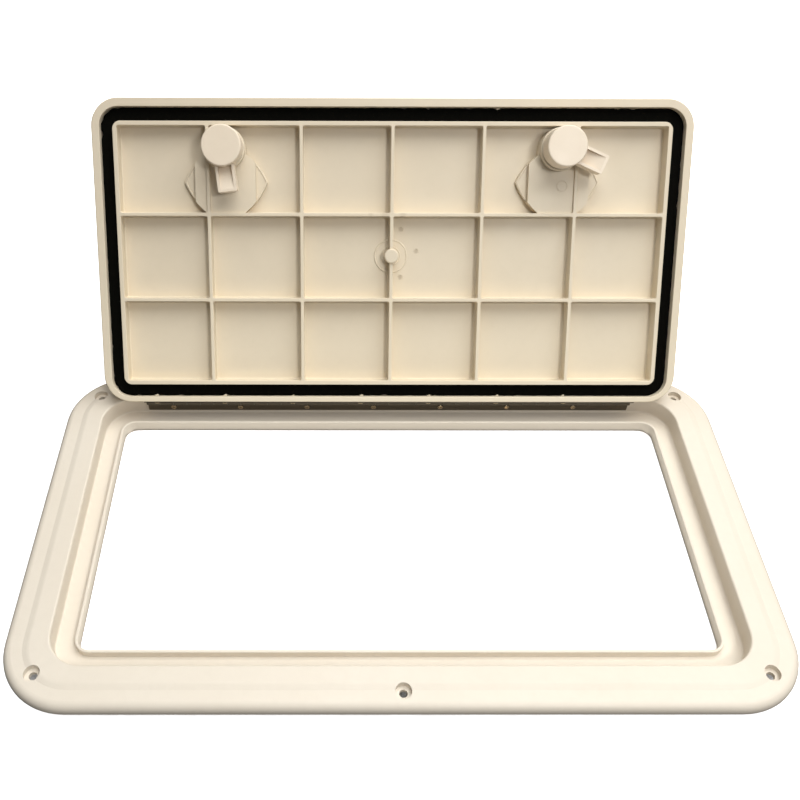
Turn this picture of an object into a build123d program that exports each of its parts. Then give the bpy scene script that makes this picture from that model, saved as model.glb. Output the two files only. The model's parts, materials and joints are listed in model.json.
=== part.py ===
from build123d import *
import os
from math import cos, radians, sin

# Flush deck hatch: a moulded frame that is screwed down round a cut-out, and a ribbed lid on a
# stainless piano hinge, with a foam gasket and two turn latches with lift-up handles.
# Millimetres, +Z up. The origin is the centre of the four corner screws, on the deck's surface.
# X runs along the hinge, and +Y points to the hinge side. The lid stands open at its stop.

# ---- frame plan ----
FRAME_LENGTH = 606.0
FRAME_WIDTH = 345.0
FRAME_CORNER = 56.0
BAND_INSET = 15.5            # from the outer edge to the raised inner band
RECESS_LENGTH = 536.7        # the ledge that the lid drops into
RECESS_FRONT = 137.85
RECESS_BACK = 139.8
RECESS_CORNER = 28.5
OPENING_LENGTH = 499.8
OPENING_WIDTH = 238.0
OPENING_CORNER = 10.5

# ---- frame levels ----
SEAT = 0.0                   # the skirt's foot, on the deck
TOP = 9.2
STEP = 1.2                   # the outer band lies this much lower
STEP_RUN = 4.5
STEP_ROUND = 9.0             # softens the step into a shallow S
PLATE_UNDER = 5.0
CHANNEL = -8.8               # the floor of the recess
CHANNEL_UNDER = -11.8
BEAD_TOP = -2.1              # the rim round the opening that meets the gasket
COAMING_FOOT = -13.0
WALL = 3.2
BEAD_THICK = 2.5
BEAD_ROUND = 0.9
SKIRT_ROUND = 7.0
EDGE_ROUND = 1.5

# ---- frame screws ----
HOLE_X = 275.0
HOLE_Y = 144.0
MIDDLE_HOLE_Y = 158.0
HOLE_R = 3.2
COUNTERBORE_R = 6.25
COUNTERBORE_DEPTH = 5.6
BOSS_R = 8.5
RIB_THICK = 2.4
RIB_PITCH_X = 60.0
RIB_COUNT_X = 9
RIB_PITCH_Y = 64.0
RIB_COUNT_Y = 4

# ---- hinge ----
HINGE_Y = 136.8
HINGE_Z = 6.7
LEAN = 53.66                 # the open lid's slope above the horizontal
KNUCKLE_R = 2.5
PIN_R = 1.25
PIN_PLAY = 0.07
LEAF_OFFSET = 3.0            # from the hinge axis to the faces that the leaves are screwed to
LEAF_THICK = 1.2
LEAF_DEPTH = 12.1
LEAF_LENGTH = 460.8
LEAF_LEVEL = 2.9             # where the flat of a leaf begins, clear of the other leaf's knuckles
KNUCKLES = 36
KNUCKLE_GAP = 0.3
PIN_PROUD = 0.6
HINGE_SCREW_PITCH = 64.0
HINGE_SCREW_COUNT = 7
FRAME_SCREW_START = -206.0
LID_SCREW_START = -219.0
HINGE_SCREW_LEVEL = 7.3      # below the hinge axis
HINGE_SCREW_R = 1.6
HINGE_SCREW_HEAD_R = 2.6
HINGE_SCREW_HEAD = 1.3
HINGE_SCREW_LENGTH = 4.3
HINGE_SCREW_RECESS = (3.0, 0.7, 0.8)             # the cross recess: length, width, depth
PILOT_PLAY = 0.05

# ---- lid, in its own plane: x along the hinge, y away from the hinge, levels towards the underside ----
LID_LENGTH = 531.8
LID_NEAR = LEAF_OFFSET
LID_FAR = 272.6
LID_CORNER = 24.5
LID_TOP = -2.5
LID_ROUND = 3.5
RIM_ROUND = 1.0
SKIN_UNDER = 1.5
LID_UNDER = 14.5             # the level of the rims and ribs
GROOVE_FLOOR = 3.0
GROOVE_OUT_X = 258.9
GROOVE_NEAR = 7.9
GROOVE_FAR = 265.2
GROOVE_CORNER = 17.0
INNER_RIM_X = 247.3
INNER_RIM_NEAR = 19.4
INNER_RIM_FAR = 253.2
INNER_RIM_CORNER = 7.0
INNER_RIM_THICK = 3.8
RIB = 3.0
COLUMN_RIBS = (-164.2, -81.0, 0.0, 81.0, 164.2)
ROW_RIBS = (97.6, 173.4)
RIB_ROUND = 0.5
CELL_CORNER = 1.6
CELL_ROUND = 1.2
GASKET_FACE = 8.5
GASKET_GAP = 0.25
PEG_R = 6.3
PEG_TOP = 17.0
PEG_ROUND = 1.2
PEG_RING_R = 14.6
PEG_RING_STEP = 0.35
PEG_Y = 137.0

# ---- latches ----
LATCH_X = 149.0
LATCH_Y = 230.0
LATCH_TURN = {"left": 173.5, "right": 113.5}     # clockwise from the latched position, seen from below
WELL_R = 16.0
WELL_FLOOR = 7.5
HOUSING_BOSS_R = 18.5
HOUSING_BOSS_TOP = 19.0
BORE_R = 8.0
WING_UNDER = 6.0
WING_FLOOR = 3.5
PAD_UNDER = 12.0
PAD_FLOOR = 8.5
PAD_HALF = 27.0
POCKET_WALL = 3.0
WIDE = 60.0                  # wider than any part of a shield
SHIELD_TOP = (18.5, 3.0)     # the right half of the shield's outline, from the spindle
SHIELD_SHOULDER = (19.0, -5.0)
SHIELD_CORNER = (37.4, -28.0)
SHIELD_FOOT = (16.0, -56.0)
SHIELD_SWELL = (2.0, 2.4)    # how far the edges above and below the corner bow outwards
MARK_R = 5.0
MARK_LINE = 0.8
MARK_DEPTH = 0.5
MARK_AT = (2.9, -31.5)

# ---- the turning parts, as levels and radii on the spindle ----
ROTOR_R = 15.6
ROTOR_TOP = 3.0
ROTOR_UNDER = 7.2
SPINDLE_R = 5.5
SPINDLE_PLAY = 0.07
SPINDLE_SHOULDER = 20.2
SQUARE = 7.0
SQUARE_END = 32.8
SQUARE_PLAY = 0.1
PILOT_R = 2.0
PILOT_DEPTH = 10.5
BUSH_TOP = 9.5
BUSH_SHRINK = 0.03
BUSH_FLANGE_R = 12.0
BUSH_FLANGE = 0.6
SEAL_R = 0.8
SEAL_CENTRE_R = 6.7
SEAL_LEVEL = 8.4
WASHER_R = 11.0
WASHER_THICK = 0.5
WASHER_GAP = 0.15
WASHER_PLAY = 0.3
HUB_R = 17.3
HUB_NEAR = 20.4
HUB_FAR = 37.5
SCREW_SEAT = 34.0
SCREW_R = 1.9
SCREW_HOLE_R = 2.3
SCREW_HEAD_R = 4.0
SCREW_HEAD = 2.2
SCREW_RECESS = (4.6, 0.9, 1.2)
CAP_FAR = 40.0
CAP_ROUND = 1.4
CAP_SPIGOT_R = 8.9
TONGUE_FAR = 33.0
TONGUE_REACH = 38.3
TONGUE_WIDTH = 16.6
TONGUE_RAIL = 2.4
TONGUE_FLOOR = (13.0, 6.0, 2.2)                  # start from the spindle, depth there, solid tip

# ---- the lift-up handle ----
HANDLE_LENGTH = 49.0
HANDLE_NECK = 9.4
HANDLE_HALF = 17.0
HANDLE_SHOULDER = (16.5, 24.0)                   # where the neck starts to widen, and where it ends
HANDLE_THICK = 5.0
HANDLE_ROUND = 1.2
HANDLE_PIN_R = 1.5
HANDLE_PIN_PLAY = 0.06
EAR_INNER = 9.8
EAR_OUTER = 13.0
EAR_WIDTH = 9.0
SMALL_ROUND = 0.8

# ---- directions of the open lid ----
ACROSS = Vector(1, 0, 0)
ALONG = Vector(0, cos(radians(LEAN)), sin(radians(LEAN)))
UNDER = Vector(0, -sin(radians(LEAN)), cos(radians(LEAN)))
LID = Plane(origin=(0, HINGE_Y, HINGE_Z), x_dir=ACROSS, z_dir=UNDER)


def slab(plane, length, width, corner, thickness, centre_y=0.0, mode=Mode.ADD):
    """Extrude a rectangle with round corners from a plane."""
    with BuildSketch(plane) as outline:
        with Locations((0, centre_y)):
            RectangleRounded(length, width, corner)
    extrude(outline.sketch, amount=thickness, mode=mode)


def disc(plane, radius, thickness, mode=Mode.ADD):
    """Extrude a circle from a plane."""
    with BuildSketch(plane) as outline:
        Circle(radius)
    extrude(outline.sketch, amount=thickness, mode=mode)


def ring(plane, outer, inner, thickness, mode=Mode.ADD):
    """Extrude a flat ring from a plane."""
    with BuildSketch(plane) as outline:
        Circle(outer)
        Circle(inner, mode=Mode.SUBTRACT)
    extrude(outline.sketch, amount=thickness, mode=mode)


def edges_at(part, plane, level, half_x=1e4, half_y=1e4):
    """Edges that lie at one level of a plane, within half_x and half_y of its origin."""
    def lies_there(edge):
        points = [plane.to_local_coords(edge @ t) for t in (0.0, 0.5, 1.0)]
        return all(abs(p.Z - level) < 0.01 and abs(p.X) < half_x and abs(p.Y) < half_y for p in points)
    return part.edges().filter_by(lies_there)


def save(part, name):
    """Label a finished piece and write it."""
    part.label = name
    export_step(part, f"parts/{name}.step")


os.makedirs("parts", exist_ok=True)

# ================= frame =================
tub_length = RECESS_LENGTH + 2 * WALL
tub_width = RECESS_FRONT + RECESS_BACK + 2 * WALL
recess_centre = (RECESS_BACK - RECESS_FRONT) / 2
screw_places = [(x, y) for x in (-HOLE_X, HOLE_X) for y in (-HOLE_Y, HOLE_Y)]
screw_places += [(0, -MIDDLE_HOLE_Y), (0, MIDDLE_HOLE_Y)]
hinge_screw_frame = [FRAME_SCREW_START + HINGE_SCREW_PITCH * k for k in range(HINGE_SCREW_COUNT)]
hinge_screw_lid = [LID_SCREW_START + HINGE_SCREW_PITCH * k for k in range(HINGE_SCREW_COUNT)]

with BuildPart() as deck_frame:
    # flange with its rounded skirt, and the raised band round the recess
    slab(Plane.XY.offset(SEAT), FRAME_LENGTH, FRAME_WIDTH, FRAME_CORNER, TOP - STEP - SEAT)
    fillet(edges_at(deck_frame, Plane.XY, TOP - STEP), SKIRT_ROUND)
    slab(Plane.XY.offset(TOP - STEP), FRAME_LENGTH - 2 * BAND_INSET, FRAME_WIDTH - 2 * BAND_INSET,
         FRAME_CORNER - BAND_INSET, STEP)
    chamfer(edges_at(deck_frame, Plane.XY, TOP), length=STEP - 0.05, length2=STEP_RUN)
    fillet(edges_at(deck_frame, Plane.XY, TOP), STEP_ROUND)
    slab(Plane.XY.offset(SEAT), FRAME_LENGTH - 2 * WALL, FRAME_WIDTH - 2 * WALL, FRAME_CORNER - WALL,
         PLATE_UNDER - SEAT, mode=Mode.SUBTRACT)
    # stiffening ribs between the skirt and the tub, and bosses round the screws
    with BuildSketch(Plane.XY.offset(SEAT)):
        with GridLocations(RIB_PITCH_X, 0, RIB_COUNT_X, 1):
            Rectangle(RIB_THICK, FRAME_WIDTH - WALL)
        with GridLocations(0, RIB_PITCH_Y, 1, RIB_COUNT_Y):
            Rectangle(FRAME_LENGTH - WALL, RIB_THICK)
        with Locations(*screw_places):
            Circle(BOSS_R)
    extrude(amount=PLATE_UNDER - SEAT)
    # tub, coaming, recess, bead and opening
    slab(Plane.XY.offset(CHANNEL_UNDER), tub_length, tub_width, RECESS_CORNER + WALL,
         PLATE_UNDER - CHANNEL_UNDER, recess_centre)
    slab(Plane.XY.offset(COAMING_FOOT), OPENING_LENGTH + 2 * WALL, OPENING_WIDTH + 2 * WALL,
         OPENING_CORNER + WALL, CHANNEL_UNDER - COAMING_FOOT)
    slab(Plane.XY.offset(CHANNEL), RECESS_LENGTH, RECESS_FRONT + RECESS_BACK, RECESS_CORNER,
         TOP - CHANNEL, recess_centre, mode=Mode.SUBTRACT)
    fillet(edges_at(deck_frame, Plane.XY, TOP, RECESS_LENGTH / 2 + 1, RECESS_BACK + 1), EDGE_ROUND)
    fillet(edges_at(deck_frame, Plane.XY, CHANNEL), EDGE_ROUND)
    slab(Plane.XY.offset(CHANNEL), OPENING_LENGTH + 2 * BEAD_THICK, OPENING_WIDTH + 2 * BEAD_THICK,
         OPENING_CORNER + BEAD_THICK, BEAD_TOP - CHANNEL)
    slab(Plane.XY.offset(COAMING_FOOT), OPENING_LENGTH, OPENING_WIDTH, OPENING_CORNER,
         BEAD_TOP - COAMING_FOOT, mode=Mode.SUBTRACT)
    fillet(edges_at(deck_frame, Plane.XY, BEAD_TOP), BEAD_ROUND)
    # counterbored screw holes, and pilot holes for the hinge
    with Locations(*[(x, y, TOP) for x, y in screw_places]):
        CounterBoreHole(HOLE_R, COUNTERBORE_R, COUNTERBORE_DEPTH, depth=TOP - SEAT + 1)
    with BuildSketch(Plane.XZ.offset(-RECESS_BACK)):
        with Locations(*[(x, HINGE_Z - HINGE_SCREW_LEVEL) for x in hinge_screw_frame]):
            Circle(HINGE_SCREW_R + PILOT_PLAY)
    extrude(amount=-WALL, mode=Mode.SUBTRACT)
save(deck_frame.part, "deck_frame")

# ================= lid =================
lid_centre = (LID_NEAR + LID_FAR) / 2
groove_width = GROOVE_FAR - GROOVE_NEAR
groove_centre = (GROOVE_FAR + GROOVE_NEAR) / 2
rim_width = INNER_RIM_FAR - INNER_RIM_NEAR
rim_centre = (INNER_RIM_FAR + INNER_RIM_NEAR) / 2


def cell_spans(first, last, ribs):
    """The clear spans between two walls and the ribs that divide them."""
    lows = [first] + [r + RIB / 2 for r in ribs]
    highs = [r - RIB / 2 for r in ribs] + [last]
    return list(zip(lows, highs))


cell_x = cell_spans(-INNER_RIM_X + INNER_RIM_THICK, INNER_RIM_X - INNER_RIM_THICK, COLUMN_RIBS)
cell_y = cell_spans(INNER_RIM_NEAR + INNER_RIM_THICK, INNER_RIM_FAR - INNER_RIM_THICK, ROW_RIBS)


def shield_plate(centre, inset, half_width, level, depth, mode=Mode.ADD):
    """A shield shape beside a latch, cut off at half_width, extruded from a level of the lid."""
    points = [Vector(*p) for p in (SHIELD_TOP, SHIELD_SHOULDER, SHIELD_CORNER, SHIELD_FOOT)]
    top, shoulder, corner, foot = points
    with BuildSketch(LID.offset(level)) as outline:
        with Locations(centre):
            with BuildSketch(mode=Mode.PRIVATE) as half:
                with BuildLine():
                    Line((0, top.Y), top)
                    Line(top, shoulder)
                    SagittaArc(shoulder, corner, SHIELD_SWELL[0])
                    SagittaArc(corner, foot, SHIELD_SWELL[1])
                    Line(foot, (0, foot.Y))
                    Line((0, foot.Y), (0, top.Y))
                make_face()
            add(half.sketch)
            add(half.sketch.mirror(Plane.YZ))
        if inset:
            offset(amount=-inset, kind=Kind.INTERSECTION, mode=Mode.REPLACE)
        with Locations(centre):
            Rectangle(2 * half_width, 200, mode=Mode.INTERSECT)
    extrude(outline.sketch, amount=depth, mode=mode)


with BuildPart() as lid:
    slab(LID.offset(LID_TOP), LID_LENGTH, LID_FAR - LID_NEAR, LID_CORNER, LID_UNDER - LID_TOP, lid_centre)
    fillet(edges_at(lid, LID, LID_TOP), LID_ROUND)
    fillet(edges_at(lid, LID, LID_UNDER), RIM_ROUND)
    # gasket groove between the outer and the inner rim
    with BuildSketch(LID.offset(GROOVE_FLOOR)):
        with Locations((0, groove_centre)):
            RectangleRounded(2 * GROOVE_OUT_X, groove_width, GROOVE_CORNER)
        with Locations((0, rim_centre)):
            RectangleRounded(2 * INNER_RIM_X, rim_width, INNER_RIM_CORNER, mode=Mode.SUBTRACT)
    extrude(amount=LID_UNDER - GROOVE_FLOOR, mode=Mode.SUBTRACT)
    # the cells between the ribs
    with BuildSketch(LID.offset(SKIN_UNDER)):
        for x_low, x_high in cell_x:
            for y_low, y_high in cell_y:
                with Locations(((x_low + x_high) / 2, (y_low + y_high) / 2)):
                    RectangleRounded(x_high - x_low, y_high - y_low, CELL_CORNER)
    extrude(amount=LID_UNDER - SKIN_UNDER, mode=Mode.SUBTRACT)
    fillet(edges_at(lid, LID, SKIN_UNDER), CELL_ROUND)
    fillet(edges_at(lid, LID, LID_UNDER, INNER_RIM_X + 1, INNER_RIM_FAR + 1), RIB_ROUND)
    # gate stub in the middle, on its round witness step
    for radius, top in ((PEG_RING_R, SKIN_UNDER + PEG_RING_STEP), (PEG_R, PEG_TOP)):
        with BuildSketch(LID):
            with Locations((0, PEG_Y)):
                Circle(radius)
        extrude(amount=top)
    fillet(edges_at(lid, LID, PEG_TOP), PEG_ROUND)
    # latch housings: wings, raised pad, boss, then the pocket, well and bore from the other side
    for side_x in (-LATCH_X, LATCH_X):
        centre = (side_x, LATCH_Y)
        shield_plate(centre, 0, WIDE, 0, WING_UNDER)
        shield_plate(centre, 0, PAD_HALF, 0, PAD_UNDER)
        with BuildSketch(LID):
            with Locations(centre):
                Circle(HOUSING_BOSS_R)
        extrude(amount=HOUSING_BOSS_TOP)
    fillet(edges_at(lid, LID, HOUSING_BOSS_TOP), RIM_ROUND)
    for side_x in (-LATCH_X, LATCH_X):
        centre = (side_x, LATCH_Y)
        shield_plate(centre, POCKET_WALL, WIDE, LID_TOP, WING_FLOOR - LID_TOP, Mode.SUBTRACT)
        shield_plate(centre, POCKET_WALL, PAD_HALF - POCKET_WALL, LID_TOP, PAD_FLOOR - LID_TOP,
                     Mode.SUBTRACT)
        for radius, depth in ((WELL_R, WELL_FLOOR - LID_TOP), (BORE_R, HOUSING_BOSS_TOP - LID_TOP)):
            with BuildSketch(LID.offset(LID_TOP)):
                with Locations(centre):
                    Circle(radius)
            extrude(amount=depth, mode=Mode.SUBTRACT)
        with BuildSketch(LID.offset(PAD_UNDER)):
            with Locations((side_x + MARK_AT[0], LATCH_Y + MARK_AT[1])):
                Circle(MARK_R)
                Circle(MARK_R - MARK_LINE, mode=Mode.SUBTRACT)
        extrude(amount=-MARK_DEPTH, mode=Mode.SUBTRACT)
    # pilot holes for the hinge, in the rim along the hinge
    with BuildSketch(Plane(origin=LID.origin + ALONG * LID_NEAR, x_dir=ACROSS, z_dir=ALONG)):
        with Locations(*[(x, -HINGE_SCREW_LEVEL) for x in hinge_screw_lid]):
            Circle(HINGE_SCREW_R + PILOT_PLAY)
    extrude(amount=GROOVE_NEAR - LID_NEAR, mode=Mode.SUBTRACT)
save(lid.part, "lid")

with BuildPart() as gasket:
    with BuildSketch(LID.offset(GROOVE_FLOOR)):
        with Locations((0, groove_centre)):
            RectangleRounded(2 * (GROOVE_OUT_X - GASKET_GAP), groove_width - 2 * GASKET_GAP,
                             GROOVE_CORNER - GASKET_GAP)
        with Locations((0, rim_centre)):
            RectangleRounded(2 * (INNER_RIM_X + GASKET_GAP), rim_width + 2 * GASKET_GAP,
                             INNER_RIM_CORNER + GASKET_GAP, mode=Mode.SUBTRACT)
    extrude(amount=GASKET_FACE - GROOVE_FLOOR)
save(gasket.part, "gasket")

# ================= hinge =================
# Each leaf has its own plane on the hinge axis: x along the pin and z down the leaf. Its seat, the
# face that it is screwed to, is at y = side * LEAF_OFFSET.
frame_axis = Plane(origin=LID.origin, x_dir=ACROSS, z_dir=(0, 0, -1))
FRAME_SIDE = -1
LID_SIDE = 1
knuckle_pitch = LEAF_LENGTH / KNUCKLES


def leaf_face(axis, side):
    """The leaf's bare face: z points into the seat, and y is -side times the depth down the leaf."""
    return Plane(origin=axis.origin + axis.y_dir * side * (LEAF_OFFSET - LEAF_THICK), x_dir=ACROSS,
                 z_dir=axis.y_dir * side)


def hinge_leaf(axis, side, first, screw_xs):
    """One leaf of the piano hinge; first is 0 or 1, for the knuckles that this leaf carries."""
    centres = [-LEAF_LENGTH / 2 + (k + 0.5) * knuckle_pitch for k in range(first, KNUCKLES, 2)]
    length = knuckle_pitch - KNUCKLE_GAP
    middle = side * (LEAF_OFFSET - LEAF_THICK / 2)
    with BuildPart() as leaf:
        with BuildSketch(axis.offset(LEAF_LEVEL)):
            with Locations((0, middle)):
                Rectangle(LEAF_LENGTH, LEAF_THICK)
        extrude(amount=LEAF_DEPTH - LEAF_LEVEL)
        with BuildSketch(axis):
            with Locations(*[(x, middle) for x in centres]):
                Rectangle(length, LEAF_THICK)
        extrude(amount=LEAF_LEVEL + PILOT_PLAY)
        for x in centres:
            disc(Plane(origin=axis.origin + ACROSS * (x - length / 2), z_dir=ACROSS), KNUCKLE_R, length)
        disc(Plane(origin=axis.origin - ACROSS * LEAF_LENGTH / 2, z_dir=ACROSS), PIN_R + PIN_PLAY,
             LEAF_LENGTH, mode=Mode.SUBTRACT)
        with BuildSketch(leaf_face(axis, side)):
            with Locations(*[(x, -side * HINGE_SCREW_LEVEL) for x in screw_xs]):
                Circle(HINGE_SCREW_R + 2 * PILOT_PLAY)
        extrude(amount=LEAF_THICK, mode=Mode.SUBTRACT)
    return leaf.part


def hinge_screws(axis, side, screw_xs):
    """The pan head screws of one leaf, as separate solids."""
    face = leaf_face(axis, side)
    recess_length, recess_width, recess_depth = HINGE_SCREW_RECESS
    places = [(x, -side * HINGE_SCREW_LEVEL) for x in screw_xs]
    with BuildPart() as screws:
        with BuildSketch(face):
            with Locations(*places):
                Circle(HINGE_SCREW_HEAD_R)
        extrude(amount=-HINGE_SCREW_HEAD)
        fillet(edges_at(screws, face, -HINGE_SCREW_HEAD), SMALL_ROUND)
        with BuildSketch(face):
            with Locations(*places):
                Circle(HINGE_SCREW_R)
        extrude(amount=HINGE_SCREW_LENGTH)
        chamfer(edges_at(screws, face, HINGE_SCREW_LENGTH), HINGE_SCREW_R / 2)
        with BuildSketch(face.offset(-HINGE_SCREW_HEAD)):
            with Locations(*places):
                Rectangle(recess_length, recess_width)
                Rectangle(recess_width, recess_length)
        extrude(amount=recess_depth, mode=Mode.SUBTRACT)
    return screws.part


save(hinge_leaf(frame_axis, FRAME_SIDE, 0, hinge_screw_frame), "hinge_leaf_frame")
save(hinge_leaf(LID, LID_SIDE, 1, hinge_screw_lid), "hinge_leaf_lid")
save(hinge_screws(frame_axis, FRAME_SIDE, hinge_screw_frame), "hinge_screws_frame")
save(hinge_screws(LID, LID_SIDE, hinge_screw_lid), "hinge_screws_lid")

with BuildPart() as hinge_pin:
    disc(Plane(origin=LID.origin - ACROSS * (LEAF_LENGTH / 2 + PIN_PROUD), z_dir=ACROSS), PIN_R,
         LEAF_LENGTH + 2 * PIN_PROUD)
    chamfer(hinge_pin.edges(), PIN_PROUD / 2)
save(hinge_pin.part, "hinge_pin")


# ================= latches =================
def latch_plane(side):
    """The latch's own plane on its spindle: y points along the cam, z towards the lid's underside."""
    turn = radians(LATCH_TURN[side])
    centre_x = -LATCH_X if side == "left" else LATCH_X
    origin = LID.origin + ACROSS * centre_x + ALONG * LATCH_Y
    return Plane(origin=origin, x_dir=ACROSS * cos(turn) - ALONG * sin(turn), z_dir=UNDER)


def bush(base):
    """Flanged bush pressed into the housing's bore."""
    with BuildPart() as piece:
        ring(base.offset(BUSH_TOP), BORE_R - BUSH_SHRINK, SPINDLE_R + SPINDLE_PLAY, HOUSING_BOSS_TOP - BUSH_TOP)
        ring(base.offset(HOUSING_BOSS_TOP), BUSH_FLANGE_R, SPINDLE_R + SPINDLE_PLAY, BUSH_FLANGE)
    return piece.part


def seal(base):
    """O-ring round the spindle, above the bush."""
    with BuildPart() as piece:
        with BuildSketch(Plane(origin=base.origin, x_dir=base.x_dir, z_dir=base.y_dir)):
            with Locations((SEAL_CENTRE_R, -SEAL_LEVEL)):
                Circle(SEAL_R)
        revolve(axis=Axis(base.origin, base.z_dir))
    return piece.part


def rotor(base):
    """The turning base in the well, with two ears for the handle's pin, the spindle and its square."""
    with BuildPart() as piece:
        disc(base.offset(ROTOR_TOP), ROTOR_R, ROTOR_UNDER - ROTOR_TOP)
        fillet(edges_at(piece, base, ROTOR_TOP), SMALL_ROUND)
        with BuildSketch(base.offset(ROTOR_TOP + SMALL_ROUND)):
            for x in (-1, 1):
                with Locations((x * (EAR_INNER + EAR_OUTER) / 2, 0)):
                    Rectangle(EAR_OUTER - EAR_INNER, EAR_WIDTH)
        extrude(amount=LID_TOP - ROTOR_TOP - SMALL_ROUND)
        disc(base.offset(ROTOR_UNDER), SPINDLE_R, SPINDLE_SHOULDER - ROTOR_UNDER)
        with BuildSketch(base.offset(SPINDLE_SHOULDER)):
            RectangleRounded(SQUARE, SQUARE, SMALL_ROUND)
        extrude(amount=SQUARE_END - SPINDLE_SHOULDER)
        disc(base.offset(SQUARE_END), PILOT_R, -PILOT_DEPTH, mode=Mode.SUBTRACT)
        disc(Plane(origin=base.origin - base.x_dir * EAR_OUTER, z_dir=base.x_dir),
             HANDLE_PIN_R + BUSH_SHRINK, 2 * EAR_OUTER, mode=Mode.SUBTRACT)
    return piece.part


def handle_pin(base):
    """Pin of the lift-up handle, through both ears."""
    with BuildPart() as piece:
        disc(Plane(origin=base.origin - base.x_dir * EAR_OUTER, z_dir=base.x_dir), HANDLE_PIN_R,
             2 * EAR_OUTER)
    return piece.part


def handle(base):
    """The lift-up handle, standing out from the lid's top: a narrow neck and a round-ended grip."""
    outline = Plane(origin=base.origin - base.y_dir * HANDLE_THICK / 2, x_dir=base.x_dir,
                    z_dir=base.y_dir)
    end = HANDLE_LENGTH - HANDLE_HALF
    neck, wide = HANDLE_SHOULDER

    def on_the_grip(edge):
        middle = base.to_local_coords(edge @ 0.5)
        return middle.Z < -HANDLE_THICK and abs(abs(middle.Y) - HANDLE_THICK / 2) < 0.01

    with BuildPart() as piece:
        with BuildSketch(outline):
            with BuildLine():
                Polyline((HANDLE_HALF, end), (HANDLE_HALF, wide), (HANDLE_NECK, neck), (HANDLE_NECK, 0),
                         (-HANDLE_NECK, 0), (-HANDLE_NECK, neck), (-HANDLE_HALF, wide), (-HANDLE_HALF, end))
                RadiusArc((-HANDLE_HALF, end), (HANDLE_HALF, end), HANDLE_HALF)
            make_face()
        extrude(amount=HANDLE_THICK)
        fillet(piece.edges().filter_by(on_the_grip), HANDLE_ROUND)
        knuckle = Plane(origin=base.origin - base.x_dir * HANDLE_NECK, z_dir=base.x_dir)
        disc(knuckle, HANDLE_THICK / 2, 2 * HANDLE_NECK)
        disc(knuckle, HANDLE_PIN_R + HANDLE_PIN_PLAY, 2 * HANDLE_NECK, mode=Mode.SUBTRACT)
    return piece.part


def washer(base):
    """Friction washer between the bush and the cam."""
    with BuildPart() as piece:
        ring(base.offset(HOUSING_BOSS_TOP + BUSH_FLANGE + WASHER_GAP), WASHER_R,
             SPINDLE_R + WASHER_PLAY, WASHER_THICK)
    return piece.part


def cam(base):
    """The cam: a round hub with a square socket, and a tongue with side rails and a sloping floor."""
    start, depth, tip = TONGUE_FLOOR
    with BuildPart() as piece:
        with BuildSketch(base.offset(HUB_NEAR)):
            with Locations((0, TONGUE_REACH / 2)):
                RectangleRounded(TONGUE_WIDTH, TONGUE_REACH, CAP_ROUND)
        extrude(amount=TONGUE_FAR - HUB_NEAR)
        side_plane = Plane(origin=base.origin - base.x_dir * (TONGUE_WIDTH / 2 - TONGUE_RAIL),
                           x_dir=base.y_dir, z_dir=base.x_dir)
        with BuildSketch(side_plane):
            with BuildLine():
                Polyline((start, TONGUE_FAR - depth), (TONGUE_REACH - tip, TONGUE_FAR),
                         (TONGUE_REACH - tip, TONGUE_FAR + 1), (start, TONGUE_FAR + 1), close=True)
            make_face()
        extrude(amount=TONGUE_WIDTH - 2 * TONGUE_RAIL, mode=Mode.SUBTRACT)
        disc(base.offset(HUB_NEAR), HUB_R, HUB_FAR - HUB_NEAR)
        with BuildSketch(base.offset(HUB_NEAR)):
            RectangleRounded(SQUARE + 2 * SQUARE_PLAY, SQUARE + 2 * SQUARE_PLAY, SMALL_ROUND - SQUARE_PLAY)
        extrude(amount=SQUARE_END + 2 * SQUARE_PLAY - HUB_NEAR, mode=Mode.SUBTRACT)
        disc(base.offset(HUB_NEAR), SCREW_HOLE_R, HUB_FAR - HUB_NEAR, mode=Mode.SUBTRACT)
        disc(base.offset(SCREW_SEAT), CAP_SPIGOT_R + SQUARE_PLAY, HUB_FAR - SCREW_SEAT, mode=Mode.SUBTRACT)
    return piece.part


def cam_screw(base):
    """Screw that holds the cam on the spindle."""
    length, width, depth = SCREW_RECESS
    with BuildPart() as piece:
        disc(base.offset(SCREW_SEAT), SCREW_HEAD_R, SCREW_HEAD)
        fillet(edges_at(piece, base, SCREW_SEAT + SCREW_HEAD), SMALL_ROUND)
        disc(base.offset(SCREW_SEAT), SCREW_R, -PILOT_DEPTH)
        with BuildSketch(base.offset(SCREW_SEAT + SCREW_HEAD)):
            Rectangle(length, width)
            Rectangle(width, length)
        extrude(amount=-depth, mode=Mode.SUBTRACT)
    return piece.part


def cap(base):
    """Round cap that closes the hub."""
    with BuildPart() as piece:
        disc(base.offset(HUB_FAR), HUB_R, CAP_FAR - HUB_FAR)
        fillet(edges_at(piece, base, CAP_FAR), CAP_ROUND)
        disc(base.offset(HUB_FAR), CAP_SPIGOT_R, -RIM_ROUND)
    return piece.part


LATCH_PIECES = {"latch_bush": bush, "latch_seal": seal, "latch_spindle": rotor, "handle_pin": handle_pin,
                "handle": handle, "friction_washer": washer, "cam": cam, "cam_screw": cam_screw,
                "cam_cap": cap}

for side in ("left", "right"):
    for name, make in LATCH_PIECES.items():
        save(make(latch_plane(side)), f"{name}_{side}")
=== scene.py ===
import json
import math
import random

import bmesh
import bpy
from mathutils import Matrix, Vector


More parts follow.
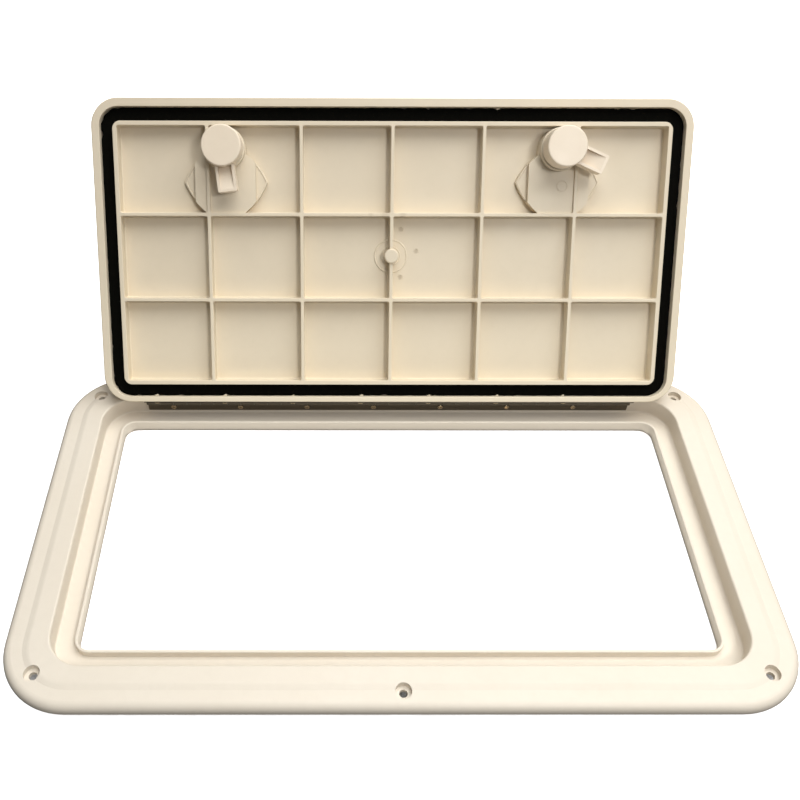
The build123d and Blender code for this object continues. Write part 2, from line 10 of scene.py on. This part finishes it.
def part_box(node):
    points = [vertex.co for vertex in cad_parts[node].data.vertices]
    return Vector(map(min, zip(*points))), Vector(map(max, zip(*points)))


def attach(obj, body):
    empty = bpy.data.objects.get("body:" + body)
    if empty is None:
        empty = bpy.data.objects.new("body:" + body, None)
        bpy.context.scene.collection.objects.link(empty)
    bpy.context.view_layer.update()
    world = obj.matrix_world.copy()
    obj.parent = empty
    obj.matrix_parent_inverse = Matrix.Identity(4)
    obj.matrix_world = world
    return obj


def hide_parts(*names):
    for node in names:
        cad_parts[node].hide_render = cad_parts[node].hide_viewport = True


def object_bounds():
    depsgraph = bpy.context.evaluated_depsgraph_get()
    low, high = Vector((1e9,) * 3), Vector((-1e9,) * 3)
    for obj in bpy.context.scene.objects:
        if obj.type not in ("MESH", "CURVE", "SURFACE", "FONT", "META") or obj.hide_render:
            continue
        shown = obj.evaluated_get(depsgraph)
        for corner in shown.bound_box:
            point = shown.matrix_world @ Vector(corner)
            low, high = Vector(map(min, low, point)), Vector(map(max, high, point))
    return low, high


# Deck hatch, open at its stop, seen from the front and above. Metres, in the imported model's frame:
# X along the hinge, +Y towards the hinge side, +Z up.
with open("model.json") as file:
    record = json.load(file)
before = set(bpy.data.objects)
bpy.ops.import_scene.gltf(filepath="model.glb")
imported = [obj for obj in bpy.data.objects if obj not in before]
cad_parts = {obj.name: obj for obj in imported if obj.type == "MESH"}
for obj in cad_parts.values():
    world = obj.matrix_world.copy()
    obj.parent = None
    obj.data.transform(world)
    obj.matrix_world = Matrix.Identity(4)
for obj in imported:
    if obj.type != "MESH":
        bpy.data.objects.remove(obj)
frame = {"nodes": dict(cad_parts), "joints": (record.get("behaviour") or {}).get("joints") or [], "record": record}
cad_low, cad_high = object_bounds()
nodes = frame["nodes"]
joints = {joint["name"]: joint for joint in frame["joints"]}
MM = 0.001

# ---- the lid's own directions, from the frame ----
hinge = Vector(joints["lid_hinge"]["pos_m"])
across = Vector((1, 0, 0))
under = Vector(joints["latch_turn_left"]["axis"]).normalized()      # out of the lid's underside
along = under.cross(across).normalized()                            # from the hinge to the lid's far edge


def on_lid(x, y, level):
    """A point from its place along the hinge, away from it, and level towards the underside, in mm."""
    return hinge + (across * x + along * y + under * level) * MM


def from_lid(point):
    """The reverse of on_lid: x, distance from the hinge and level of a point, in mm."""
    arm = Vector(point) - hinge
    return arm.dot(across) / MM, arm.dot(along) / MM, arm.dot(under) / MM


def lid_extents(node):
    """Least and greatest x, distance and level of a CAD node, in mm."""
    places = [from_lid(vertex.co) for vertex in nodes[node].data.vertices]
    return [min(axis) for axis in zip(*places)], [max(axis) for axis in zip(*places)]


# ================= node helpers =================
def new_material(name):
    """An empty node material with a Principled shader; returns material, tree and shader."""
    material = bpy.data.materials.new(name)
    material.use_nodes = True
    tree = material.node_tree
    tree.nodes.clear()
    shader = tree.nodes.new("ShaderNodeBsdfPrincipled")
    output = tree.nodes.new("ShaderNodeOutputMaterial")
    tree.links.new(shader.outputs["BSDF"], output.inputs["Surface"])
    return material, tree, shader


def put(tree, kind, inputs=None, **settings):
    """Add a node, set its properties, and fill or link its inputs."""
    node = tree.nodes.new(kind)
    for key, value in settings.items():
        setattr(node, key, value)
    for key, value in (inputs or {}).items():
        if isinstance(value, bpy.types.NodeSocket):
            tree.links.new(value, node.inputs[key])
        else:
            node.inputs[key].default_value = value
    return node


def object_coordinates(tree):
    """Coordinates of the model's own frame, in metres."""
    return put(tree, "ShaderNodeTexCoord").outputs["Object"]


def noise(tree, vector, scale, detail, roughness=0.5):
    """Noise of a given scale, in cycles per metre."""
    return put(tree, "ShaderNodeTexNoise", {"Vector": vector, "Scale": scale, "Detail": detail,
                                            "Roughness": roughness}).outputs["Fac"]


def ramp(tree, value, low, high, to_low=0.0, to_high=1.0):
    """Map a value from one range to another, clamped."""
    return put(tree, "ShaderNodeMapRange", {"Value": value, "From Min": low, "From Max": high,
                                            "To Min": to_low, "To Max": to_high}).outputs["Result"]


def mix_colour(tree, factor, first, second):
    """Blend two colours, given as sockets or RGB triples."""
    node = put(tree, "ShaderNodeMix", data_type="RGBA")
    tree.links.new(factor, node.inputs["Factor"])
    for key, value in (("A", first), ("B", second)):
        socket = [s for s in node.inputs if s.name == key and s.type == "RGBA"][0]
        if isinstance(value, bpy.types.NodeSocket):
            tree.links.new(value, socket)
        else:
            socket.default_value = (*value, 1.0)
    return [s for s in node.outputs if s.type == "RGBA"][0]


def bump(tree, shader, height, strength, distance):
    """Relief on a shader's normal, from a height."""
    node = put(tree, "ShaderNodeBump", {"Height": height, "Strength": strength, "Distance": distance})
    tree.links.new(node.outputs["Normal"], shader.inputs["Normal"])


# ================= materials =================
def plastic_colour(tree, place, base, aged, corner_shade):
    """Slow yellowing, a faint mottle, and a painted shade, darker and warmer, where surfaces meet."""
    ageing = ramp(tree, noise(tree, place, 9, 3), 0.35, 0.7)
    colour = mix_colour(tree, ageing, base, aged)
    mottle = ramp(tree, noise(tree, place, 130, 4, 0.6), 0.42, 0.72, 0.0, 0.3)
    colour = mix_colour(tree, mottle, colour, tuple(c * 0.95 for c in aged))
    # Painted shade: the colour is darkened and warmed where surfaces meet, found by ambient occlusion.
    corners = put(tree, "ShaderNodeAmbientOcclusion", {"Distance": 0.012}, samples=4, only_local=True)
    dust_and_shade = ramp(tree, corners.outputs["AO"], 0.3, 0.85, corner_shade, 0.0)
    return mix_colour(tree, dust_and_shade, colour, (aged[0] * 0.72, aged[1] * 0.64, aged[2] * 0.52))


def smudge(tree, place, colour, centre, radius, depth):
    """Darken a colour in a soft spot round a point."""
    gap = put(tree, "ShaderNodeVectorMath", {0: place, 1: centre}, operation="DISTANCE").outputs["Value"]
    waver = ramp(tree, noise(tree, place, 700, 2), 0.2, 0.8, 0.7, 1.3)
    rough = put(tree, "ShaderNodeMath", {0: gap, 1: waver}, operation="MULTIPLY").outputs["Value"]
    return mix_colour(tree, ramp(tree, rough, radius * 0.4, radius, depth, 0.0), colour, (0.30, 0.22, 0.13))


def moulded_plastic(name, base, aged, roughness, corner_shade=0.0, smudges=(), shade_gradient=None):
    """Moulded plastic with a fine skin; the last argument, if given, holds the axis, start, end and depth of a
    painted shade that deepens along that axis.
    """
    material, tree, shader = new_material(name)
    place = object_coordinates(tree)
    colour = plastic_colour(tree, place, base, aged, corner_shade)
    # Painted shade: the colour turns towards dark brown along one axis, more so towards its end.
    if shade_gradient:
        axis, start, end, depth = shade_gradient
        way = put(tree, "ShaderNodeSeparateXYZ", {"Vector": place}).outputs[axis]
        colour = mix_colour(tree, ramp(tree, way, start, end, 0.0, depth), colour, (0.55, 0.47, 0.37))
    for centre, radius, depth in smudges:
        colour = smudge(tree, place, colour, centre, radius, depth)
    tree.links.new(colour, shader.inputs["Base Color"])
    rough = ramp(tree, noise(tree, place, 60, 4), 0.3, 0.7, roughness - 0.06, roughness + 0.08)
    tree.links.new(rough, shader.inputs["Roughness"])
    shader.inputs["Specular IOR Level"].default_value = 0.35
    bump(tree, shader, noise(tree, place, 900, 4, 0.6), 0.12, 0.0003)
    return material


def foam_rubber(name):
    """Black closed-cell foam: pores, dust and a dull skin."""
    material, tree, shader = new_material(name)
    place = object_coordinates(tree)
    dust_and_shade = ramp(tree, noise(tree, place, 220, 5, 0.7), 0.5, 0.8, 0.0, 0.5)
    colour = mix_colour(tree, dust_and_shade, (0.0018, 0.0018, 0.0012), (0.006, 0.005, 0.0035))
    tree.links.new(colour, shader.inputs["Base Color"])
    shader.inputs["Roughness"].default_value = 0.85
    shader.inputs["Specular IOR Level"].default_value = 0.05
    pores = put(tree, "ShaderNodeTexVoronoi", {"Vector": place, "Scale": 1400.0})
    bump(tree, shader, pores.outputs["Distance"], 0.35, 0.0004)
    return material


def brushed_steel(name, colour, roughness):
    """Stainless steel, brushed along the hinge."""
    material, tree, shader = new_material(name)
    place = object_coordinates(tree)
    stretched = put(tree, "ShaderNodeMapping", {"Vector": place, "Scale": (40, 2600, 2600)})
    grain = noise(tree, stretched.outputs["Vector"], 1.0, 3)
    tint = mix_colour(tree, ramp(tree, grain, 0.3, 0.7), tuple(c * 0.8 for c in colour), colour)
    tree.links.new(tint, shader.inputs["Base Color"])
    tree.links.new(ramp(tree, grain, 0.3, 0.7, roughness - 0.08, roughness + 0.1), shader.inputs["Roughness"])
    shader.inputs["Metallic"].default_value = 1.0
    bump(tree, shader, grain, 0.08, 0.0002)
    return material


# Places on the lid, in mm: x and distance from the hinge.
PIPS = ((9.5, 161), (24.0, 141.5), (9.5, 118))       # ejector pips beside the gate stub
RIB_SCUFFS = ((-6, 5.0, 0.2), (10, 4.0, 0.18), (-19, 3.0, 0.15))     # x, radius and depth
SCUFFED_RIB = 173.4
CELL_FLOOR = 1.5                                     # level of the floor of the cells
RIB_LEVEL = 14.5                                     # level of the edges of the ribs

marks = [(on_lid(x - 0.6, y, CELL_FLOOR), 2.7 * MM, 0.45) for x, y in PIPS]
marks += [(on_lid(x, SCUFFED_RIB, RIB_LEVEL), radius * MM, depth) for x, radius, depth in RIB_SCUFFS]
back_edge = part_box("deck_frame")[1][1]
# Painted shade on the frame's rear under the open lid, and on the lid, darker towards its top as it stands open.
shade_under_lid = ("Y", back_edge * 0.55, back_edge * 0.95, 0.42)
shade_to_lid_top = ("Z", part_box("lid")[0][2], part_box("lid")[1][2], 0.42)
ivory = moulded_plastic("ivory_frame", (0.75, 0.69, 0.60), (0.735, 0.67, 0.575), 0.42, shade_gradient=shade_under_lid)
ivory_lid = moulded_plastic("ivory_lid", (0.785, 0.70, 0.552), (0.775, 0.685, 0.53), 0.46, corner_shade=0.2,
                            smudges=marks, shade_gradient=shade_to_lid_top)
ivory_latch = moulded_plastic("ivory_latch", (0.80, 0.70, 0.575), (0.79, 0.685, 0.55), 0.38, corner_shade=0.2)
white_acetal = moulded_plastic("white_acetal", (0.82, 0.82, 0.79), (0.78, 0.77, 0.72), 0.3, corner_shade=0.35)
black_foam = foam_rubber("black_foam")
hinge_steel = brushed_steel("hinge_steel", (0.15, 0.13, 0.10), 0.42)
screw_steel = brushed_steel("screw_steel", (0.46, 0.37, 0.25), 0.22)

finishes = {"frame_plastic": ivory, "lid_plastic": ivory_lid, "latch_plastic": ivory_latch,
            "bush_plastic": white_acetal, "gasket_foam": black_foam, "seal_rubber": black_foam,
            "hinge_steel": hinge_steel, "pin_steel": screw_steel, "screw_steel": screw_steel}
for part in frame["record"]["subparts"]:
    mesh = nodes[part["node"]].data
    mesh.materials.clear()
    mesh.materials.append(finishes[part["material_slot"]])


# ================= pieces =================
def add_object(name, form, material):
    """Turn a bmesh into an object of the scene with one material."""
    mesh = bpy.data.meshes.new(name)
    form.to_mesh(mesh)
    form.free()
    mesh.materials.append(material)
    made = bpy.data.objects.new(name, mesh)
    bpy.context.scene.collection.objects.link(made)
    return made


def add_piece(name, form, material):
    """Put a new piece in the scene, on the lid, with its finish."""
    piece = add_object(name, form, material)
    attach(piece, "lid")
    return piece


def rounded_loop(low, high, corner, steps):
    """Points round a rectangle with round corners; steps counts them along x, along y and in a corner."""
    along_x, along_y, turn = steps
    (x0, y0), (x1, y1) = low, high
    points = []
    left, right, near, far = x0 + corner, x1 - corner, y0 + corner, y1 - corner
    sides = (((left, y0), (right, y0), (right, near), along_x, -90),
             ((x1, near), (x1, far), (right, far), along_y, 0),
             ((right, y1), (left, y1), (left, far), along_x, 90),
             ((x0, far), (x0, near), (left, near), along_y, 180))
    for start, end, centre, count, angle in sides:
        for k in range(count):
            t = k / count
            points.append((start[0] + (end[0] - start[0]) * t, start[1] + (end[1] - start[1]) * t))
        for k in range(turn):
            a = math.radians(angle + 90 * k / turn)
            points.append((centre[0] + corner * math.cos(a), centre[1] + corner * math.sin(a)))
    return points


def ripple(rng, count, waves, depth):
    """A smooth random offset for each of count points round a closed loop."""
    parts = [(n, rng.uniform(0.3, 1.0), rng.uniform(0, 2 * math.pi)) for n in waves]
    scale = depth / sum(size for _, size, _ in parts)
    return [scale * sum(size * math.sin(2 * math.pi * n * k / count + phase) for n, size, phase in parts)
            for k in range(count)]


def nicks(rng, count, places, depth):
    """Torn spots on the gasket's outer edge: how far each point of the loop is pulled in, in mm."""
    pulled = [0.0] * count
    for place in places:
        middle = int(place * count)
        half = rng.uniform(2.0, 4.5)
        deep = depth * rng.uniform(0.5, 1.0)
        for k in range(-8, 9):
            pulled[(middle + k) % count] += deep * max(0.0, 1 - abs(k + rng.uniform(-0.5, 0.5)) / half)
    return pulled


GASKET_BAND = 11.1                   # mm, width of the strip
GASKET_CORNERS = (16.7, 7.2)         # mm, outer and inner radius
GASKET_STEPS = (420, 190, 22)        # points along a long side, a short side and a corner
GASKET_JOINT = 0.11                  # where the strip's ends meet, as a share of the way round
TORN_PLACES = [0.822, 0.828, 0.834, 0.841, 0.600, 0.99, 0.004]       # shares of the way round too
# Section of the strip from its inner edge to its outer: share of the width, drop as a share of the depth.
GASKET_SECTION = ((0.0, -1.0), (0.0, -0.16), (0.012, -0.07), (0.045, -0.02), (0.12, 0.0), (0.3, 0.0),
                  (0.5, 0.0), (0.7, 0.0), (0.88, 0.0), (0.955, -0.02), (0.988, -0.07), (1.0, -0.16),
                  (1.0, -1.0))


def gasket_section(inner, outer, top, depth, wear, rng):
    """Points of one section of the strip; wear holds its sway, lift and tear, and how near its joint is."""
    sway, lift, torn, joint = wear
    points = []
    for share, drop in GASKET_SECTION:
        x = inner[0] + (outer[0] - inner[0]) * share
        y = inner[1] + (outer[1] - inner[1]) * share
        edge = abs(share - 0.5) * 2
        outside = share > 0.5
        pull = (sway - 0.1 + (torn if outside else 0.0)) * edge ** 4 / GASKET_BAND
        way = 1 if outside else -0.6
        x += (inner[0] - outer[0]) * pull * way
        y += (inner[1] - outer[1]) * pull * way
        sag = drop * depth
        if drop > -1:
            crown = lift * (1 - edge ** 2) * 0.6 - 0.25 * edge ** 3
            sag += crown - 0.5 * joint - 0.35 * torn * max(0, share - 0.5)
            sag += rng.uniform(-0.03, 0.03)
        points.append(on_lid(x, y, top + sag))
    return points


def make_gasket():
    """Foam strip in the lid's groove: crowned, uneven at its cut edges, torn in places, one butt joint."""
    rng = random.Random(11)
    low, high = lid_extents("gasket")
    outer = rounded_loop(low[:2], high[:2], GASKET_CORNERS[0], GASKET_STEPS)
    inner = rounded_loop([c + GASKET_BAND for c in low[:2]], [c - GASKET_BAND for c in high[:2]],
                         GASKET_CORNERS[1], GASKET_STEPS)
    count = len(outer)
    sway = ripple(rng, count, (61, 97, 143, 211), 0.22)
    lift = ripple(rng, count, (7, 19, 43, 83), 0.35)
    torn = nicks(rng, count, [rng.random() for _ in range(16)] + TORN_PLACES, 1.2)
    form = bmesh.new()
    rings = []
    for k in range(count):
        joint = max(0.0, 1 - abs(k - count * GASKET_JOINT) / 1.6)
        wear = (sway[k], lift[k], torn[k], joint)
        section = gasket_section(inner[k], outer[k], high[2], high[2] - low[2], wear, rng)
        rings.append([form.verts.new(point) for point in section])
    sides = len(GASKET_SECTION)
    for k in range(count):
        first, second = rings[k], rings[(k + 1) % count]
        for j in range(sides):
            i = (j + 1) % sides
            form.faces.new((first[j], first[i], second[i], second[j])).smooth = 0 < j < sides - 2
    bmesh.ops.recalc_face_normals(form, faces=form.faces)
    piece = add_piece("gasket_foam", form, black_foam)
    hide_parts("gasket")


def make_burrs():
    """Plastic lifted by the tips of the hinge screws at the groove's edge, and one lump on its far edge."""
    rng = random.Random(5)
    screws, head_radius, far_lump, level = 7, 2.6, 93.0, 8.2
    low, high = lid_extents("gasket")
    screw_low, screw_high = lid_extents("hinge_screws_lid")
    first = screw_low[0] + head_radius
    pitch = (screw_high[0] - screw_low[0] - 2 * head_radius) / (screws - 1)
    form = bmesh.new()
    places = [(first + pitch * k + rng.uniform(-1, 1), low[1] + 0.2) for k in range(screws)]
    places.append((far_lump, high[1] - 0.4))
    for x, y in places:
        lump = bmesh.ops.create_icosphere(form, subdivisions=3, radius=1.0)["verts"]
        size = (rng.uniform(1.2, 2.4), rng.uniform(0.5, 0.9), rng.uniform(0.4, 0.8))
        for vertex in lump:
            rough = 1 + rng.uniform(-0.14, 0.14)
            right, up, out = (vertex.co[a] * size[a] * rough for a in range(3))
            vertex.co = on_lid(x + right, y + up + 0.3 * math.sin(right * 2.1), level + out)
    add_piece("groove_burrs", form, ivory_lid)


def bead(form, path, level, radius, closed, rng):
    """A thin raised line along points of the lid's plane, half round and slightly uneven in height."""
    arc = 6
    rings = []
    count = len(path)
    for k, (x, y) in enumerate(path):
        ahead = path[(k + 1) % count] if closed or k < count - 1 else path[k]
        behind = path[k - 1] if closed or k > 0 else path[k]
        run = Vector((ahead[0] - behind[0], ahead[1] - behind[1])).normalized()
        size = radius * rng.uniform(0.88, 1.12)
        ring = []
        for step in range(arc + 1):
            angle = math.pi * step / arc
            side, rise = size * math.cos(angle), size * math.sin(angle)
            ring.append(form.verts.new(on_lid(x - run.y * side, y + run.x * side, level + rise)))
        rings.append(ring)
    for k in range(count if closed else count - 1):
        first, second = rings[k], rings[(k + 1) % count]
        for j in range(arc):
            form.faces.new((first[j], first[j + 1], second[j + 1], second[j])).smooth = True


def bowed(start, end, swell, count=14):
    """Points of a shallow arc from start to end that bows outwards by swell."""
    run = Vector((end[0] - start[0], end[1] - start[1]))
    out = Vector((-run.y, run.x)).normalized()
    if out.x * (start[0] + end[0]) < 0:
        out = -out
    points = []
    for k in range(count + 1):
        t = k / count
        bow = swell * 4 * t * (1 - t)
        points.append((start[0] + run.x * t + out.x * bow, start[1] + run.y * t + out.y * bow))
    return points


def oval(middle, wide, high, turns):
    """Points of an ellipse in the lid's plane, at the given angles."""
    return [(middle[0] + wide * math.cos(a), middle[1] + high * math.sin(a)) for a in turns]


def make_moulding_lines():
    """Raised edge lines on the latch wings, witness rings round the gate stub, and three ejector pips."""
    rng = random.Random(8)
    shoulder, corner, foot, wing_level = (19, -5), (37, -28), (16, -55.5), 6.0      # from the latch's axis
    gate = (0, 137)
    form = bmesh.new()
    for name in ("latch_turn_left", "latch_turn_right"):
        middle = from_lid(joints[name]["pos_m"])
        for side in (-1, 1):
            path = bowed(shoulder, corner, 2.0) + bowed(corner, foot, 2.4)[1:]
            path = [(middle[0] + side * (x - 0.7), middle[1] + y) for x, y in path]
            bead(form, path, wing_level - 0.1, 0.75, False, rng)
    whole_turn = [2 * math.pi * k / 90 for k in range(90)]
    bead(form, oval(gate, 14.6, 14.6, whole_turn), CELL_FLOOR, 0.85, True, rng)
    bead(form, oval(gate, 8.6, 8.4, whole_turn), CELL_FLOOR + 0.2, 0.5, True, rng)
    half_turn = [math.radians(-60 + 12 * k) for k in range(16)]
    for pip in PIPS:
        bead(form, oval(pip, 2.0, 2.0, half_turn), CELL_FLOOR - 0.2, 0.55, False, rng)
    bmesh.ops.recalc_face_normals(form, faces=form.faces)
    add_piece("moulding_lines", form, ivory_lid)


def stud(form, x, y, level, half, height):
    """A low four-sided stud with a flat crown, standing on the lid's top."""
    corners = ((0, -1), (1, 0), (0, 1), (-1, 0))
    foot = [form.verts.new(on_lid(x + half * a, y + half * b, level + 0.02)) for a, b in corners]
    inset = half * 0.45
    crown = [form.verts.new(on_lid(x + inset * a, y + inset * b, level - height)) for a, b in corners]
    form.faces.new(crown)
    form.faces.new(list(reversed(foot)))
    for k in range(4):
        form.faces.new((foot[k], foot[(k + 1) % 4], crown[(k + 1) % 4], crown[k]))


def make_tread():
    """Anti-slip studs on the lid's top, kept clear of the latches."""
    low, high = lid_extents("lid")
    latches = [from_lid(joints[name]["pos_m"]) for name in ("latch_turn_left", "latch_turn_right")]
    pitch, half, height, margin = 5.2, 1.35, 0.45, 17.0
    clear_side, clear_near, clear_far = 46, -66, 26
    rows = int((high[1] - low[1] - 2 * margin) / pitch)
    columns = int((high[0] - low[0] - 2 * margin) / pitch)
    form = bmesh.new()
    for row in range(rows + 1):
        y = (low[1] + high[1]) / 2 + (row - rows / 2) * pitch
        for column in range(columns + 1):
            x = (column - columns / 2) * pitch + (pitch / 2 if row % 2 else 0)
            at_latch = any(abs(x - place[0]) < clear_side and clear_near < y - place[1] < clear_far
                           for place in latches)
            if not at_latch and abs(x) <= (high[0] - low[0]) / 2 - margin:
                stud(form, x, y, low[2], half, height)
    bmesh.ops.recalc_face_normals(form, faces=form.faces)
    add_piece("lid_tread", form, ivory_lid)


make_gasket()
make_burrs()
make_moulding_lines()
make_tread()


# ================= stage =================
FLOOR_GAP = 0.0005


def make_floor():
    """A pale, evenly glowing floor just under the object; where little sky reaches it, as below the screw holes,
    it is painted a dark brown shade and its glow is cut.
    """
    material, tree, shader = new_material("floor")
    open_sky = put(tree, "ShaderNodeAmbientOcclusion", {"Distance": 0.03}, samples=8)
    # Painted shade: the floor turns dark brown and stops glowing where the sky is hidden from it.
    open_part = ramp(tree, open_sky.outputs["AO"], 0.30, 0.46)
    shade = ramp(tree, noise(tree, object_coordinates(tree), 3, 2), 0.3, 0.7)
    pale = mix_colour(tree, shade, (0.93, 0.93, 0.93), (0.95, 0.95, 0.95))
    tree.links.new(mix_colour(tree, open_part, (0.42, 0.32, 0.22), pale), shader.inputs["Base Color"])
    shader.inputs["Roughness"].default_value = 0.9
    shader.inputs["Emission Color"].default_value = (1, 1, 1, 1)
    tree.links.new(open_part, shader.inputs["Emission Strength"])
    form = bmesh.new()
    bmesh.ops.create_grid(form, x_segments=4, y_segments=4, size=6.0)
    floor = add_object("floor", form, material)
    floor.location.z = cad_low.z - FLOOR_GAP
    floor.visible_glossy = floor.visible_diffuse = False


def make_backdrop():
    """A white dome far behind everything, seen by the camera but lighting nothing."""
    material, tree, shader = new_material("backdrop")
    shader.inputs["Base Color"].default_value = (0.9, 0.9, 0.9, 1)
    shader.inputs["Emission Color"].default_value = (1, 1, 1, 1)
    shader.inputs["Emission Strength"].default_value = 1.0
    form = bmesh.new()
    bmesh.ops.create_icosphere(form, subdivisions=4, radius=25.0)
    dome = add_object("backdrop", form, material)
    dome.visible_diffuse = dome.visible_glossy = False
    dome.visible_transmission = dome.visible_shadow = False


def area_light(name, place, target, size, power, colour):
    """A square area light at a place, turned to a target; returns it."""
    light = bpy.data.lights.new(name, "AREA")
    light.shape = "SQUARE"
    light.size = size
    light.energy = power
    light.color = colour
    lamp = bpy.data.objects.new(name, light)
    lamp.location = place
    lamp.rotation_mode = "QUATERNION"
    lamp.rotation_quaternion = (Vector(target) - Vector(place)).to_track_quat("-Z", "Y")
    bpy.context.scene.collection.objects.link(lamp)
    return lamp


def make_lights():
    """Soft light overhead, a small one at the front right, fill from behind and from the deck, a dim room."""
    area_light("overhead", (0.45, 0.3, 1.75), (0, 0.05, 0), 1.9, 44, (1.0, 0.995, 0.965))
    area_light("key", (0.5, -1.0, 1.25), (0, 0.1, 0.1), 0.2, 7.8, (1.0, 0.985, 0.96))
    back_fill = area_light("back_fill", (0.5, 1.6, 0.2), (0, 0.3, 0.15), 1.6, 6.5, (1.0, 0.88, 0.70))
    back_fill.data.shape = "RECTANGLE"
    back_fill.data.size_y = 0.36
    bounce = area_light("bounce", (0, 0, cad_low.z + FLOOR_GAP), (0, 0, 1), 0.495, 0.42, (1.0, 0.96, 0.88))
    bounce.data.shape = "RECTANGLE"
    bounce.data.size_y = 0.234
    bounce.visible_camera = False
    world = bpy.data.worlds.new("studio")
    world.use_nodes = True
    tree = world.node_tree
    background = tree.nodes["Background"]
    background.inputs["Color"].default_value = (1, 0.97, 0.93, 1)
    sky = put(tree, "ShaderNodeTexCoord").outputs["Generated"]
    rise = put(tree, "ShaderNodeSeparateXYZ", {"Vector": sky}).outputs["Z"]
    tree.links.new(ramp(tree, rise, -0.3, 0.5, 0.04, 0.16), background.inputs["Strength"])
    bpy.context.scene.world = world
    bpy.context.scene.view_settings.view_transform = "Standard"


def make_camera():
    """Camera in front of the hatch and above it, looking down at the open lid."""
    place = (-0.048382, -0.44799, 0.60904)
    pitch, yaw, roll = math.radians(48.318), math.radians(0.364), math.radians(0.323)
    forward = Vector((math.sin(yaw) * math.cos(pitch), math.cos(yaw) * math.cos(pitch), -math.sin(pitch)))
    level = Vector((math.cos(yaw), -math.sin(yaw), 0))
    upward = level.cross(forward)
    right = level * math.cos(roll) + upward * math.sin(roll)
    up = -level * math.sin(roll) + upward * math.cos(roll)
    data = bpy.data.cameras.new("camera")
    data.lens = 39.514
    data.sensor_width = 36.0
    data.shift_x = 0.0731
    data.shift_y = 0.0506
    camera = bpy.data.objects.new("camera", data)
    turn = Matrix((right, up, -forward)).transposed().to_4x4()
    camera.matrix_world = Matrix.Translation(place) @ turn
    bpy.context.scene.collection.objects.link(camera)
    bpy.context.scene.camera = camera


make_floor()
make_backdrop()
make_lights()
make_camera()
